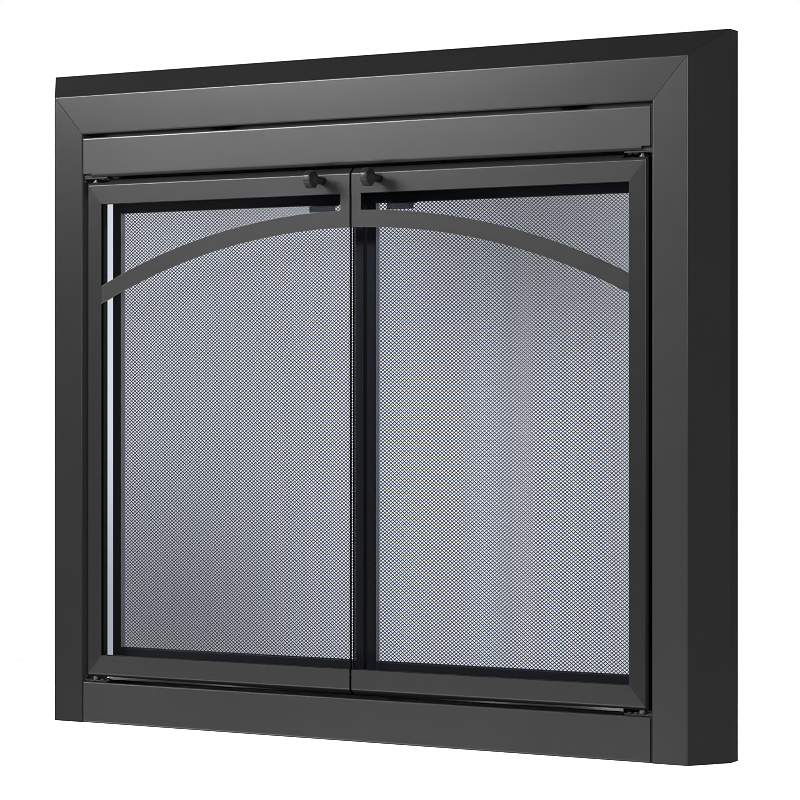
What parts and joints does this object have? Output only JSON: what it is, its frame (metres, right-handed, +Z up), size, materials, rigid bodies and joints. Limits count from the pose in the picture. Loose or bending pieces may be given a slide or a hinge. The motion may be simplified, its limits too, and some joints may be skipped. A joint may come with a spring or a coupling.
{
  "type": "fireplace glass door",
  "caption": "Trimmed steel fireplace front with a header, hinged glass doors with an arched bar, and hinged mesh screen doors behind them.",
  "frame": {"origin": "middle of the hearth face of the lower panel's foot, in the plane of the wall that the trim rests on", "axes": "+X to the right along the front, +Y into the wall, +Z up; the doors face -Y"},
  "size_m": [0.9524, 0.1773, 0.838],
  "materials": {
    "charcoal_paint": "satin high-temperature paint, charcoal",
    "black_paint": "matt black stove paint",
    "zinc_steel": "bright zinc plate",
    "tinted_glass": "clear, slightly grey tempered glass",
    "gasket_tape": "woven glass-fibre tape",
    "ferrite": "sintered, matt"
  },
  "bodies": {
    "root": {"left_trim": "charcoal_paint", "right_trim": "charcoal_paint", "top_trim": "charcoal_paint", "corner_brackets": "zinc_steel", "corner_studs": "zinc_steel", "header_panel": "charcoal_paint", "lower_panel": "charcoal_paint", "panel_screws": "zinc_steel", "upper_guard_strip": "black_paint", "lower_guard_strip": "black_paint", "door_brackets": "black_paint", "bracket_rivets": "zinc_steel", "shelf_screws": "zinc_steel", "screen_brackets": "zinc_steel", "catch_housings": "black_paint", "catch_magnets": "ferrite", "screen_magnets": "ferrite", "lintel_brackets": "zinc_steel", "lintel_bracket_bolts": "zinc_steel", "clamp_bolts": "zinc_steel", "clamp_pads": "black_paint"},
    "left_door": {"left_door_top_rail": "charcoal_paint", "left_door_stile": "charcoal_paint", "left_door_bottom_rail": "charcoal_paint", "left_door_arch": "charcoal_paint", "left_glass": "tinted_glass", "left_gasket": "gasket_tape", "left_retainers": "black_paint", "left_retainer_screws": "zinc_steel", "left_knob": "charcoal_paint", "left_knob_stem": "charcoal_paint", "left_knob_screw": "zinc_steel", "left_strike_plate": "zinc_steel", "left_door_pins": "zinc_steel", "left_door_bushes": "zinc_steel"},
    "right_door": {"right_door_top_rail": "charcoal_paint", "right_door_stile": "charcoal_paint", "right_door_bottom_rail": "charcoal_paint", "right_door_arch": "charcoal_paint", "right_glass": "tinted_glass", "right_gasket": "gasket_tape", "right_retainers": "black_paint", "right_retainer_screws": "zinc_steel", "right_knob": "charcoal_paint", "right_knob_stem": "charcoal_paint", "right_knob_screw": "zinc_steel", "right_strike_plate": "zinc_steel", "right_door_pins": "zinc_steel", "right_door_bushes": "zinc_steel"},
    "left_screen": {"left_screen_stiles": "black_paint", "left_screen_rails": "black_paint", "left_mesh": "black_paint", "left_pull_tab": "black_paint", "left_screen_pins": "zinc_steel"},
    "right_screen": {"right_screen_stiles": "black_paint", "right_screen_rails": "black_paint", "right_mesh": "black_paint", "right_pull_tab": "black_paint", "right_screen_pins": "zinc_steel"}
  },
  "joints": [
    {"name": "left_door_hinge", "type": "hinge", "parent": "root", "child": "left_door", "pos_m": [-0.384, -0.05945, 0.376], "axis": [0, 0, -1], "range_deg": [0, 100]},
    {"name": "left_screen_hinge", "type": "hinge", "parent": "root", "child": "left_screen", "pos_m": [-0.3716, -0.0272, 0.375], "axis": [0, 0, -1], "range_deg": [0, 75]},
    {"name": "right_door_hinge", "type": "hinge", "parent": "root", "child": "right_door", "pos_m": [0.384, -0.05945, 0.376], "axis": [0, 0, 1], "range_deg": [0, 100]},
    {"name": "right_screen_hinge", "type": "hinge", "parent": "root", "child": "right_screen", "pos_m": [0.3716, -0.0272, 0.375], "axis": [0, 0, 1], "range_deg": [0, 75]}
  ],
  "couplings": [
    {"joint": "left_screen_hinge", "follows": "left_door_hinge", "ratio": 0.75},
    {"joint": "right_screen_hinge", "follows": "right_door_hinge", "ratio": 0.75}
  ]
}
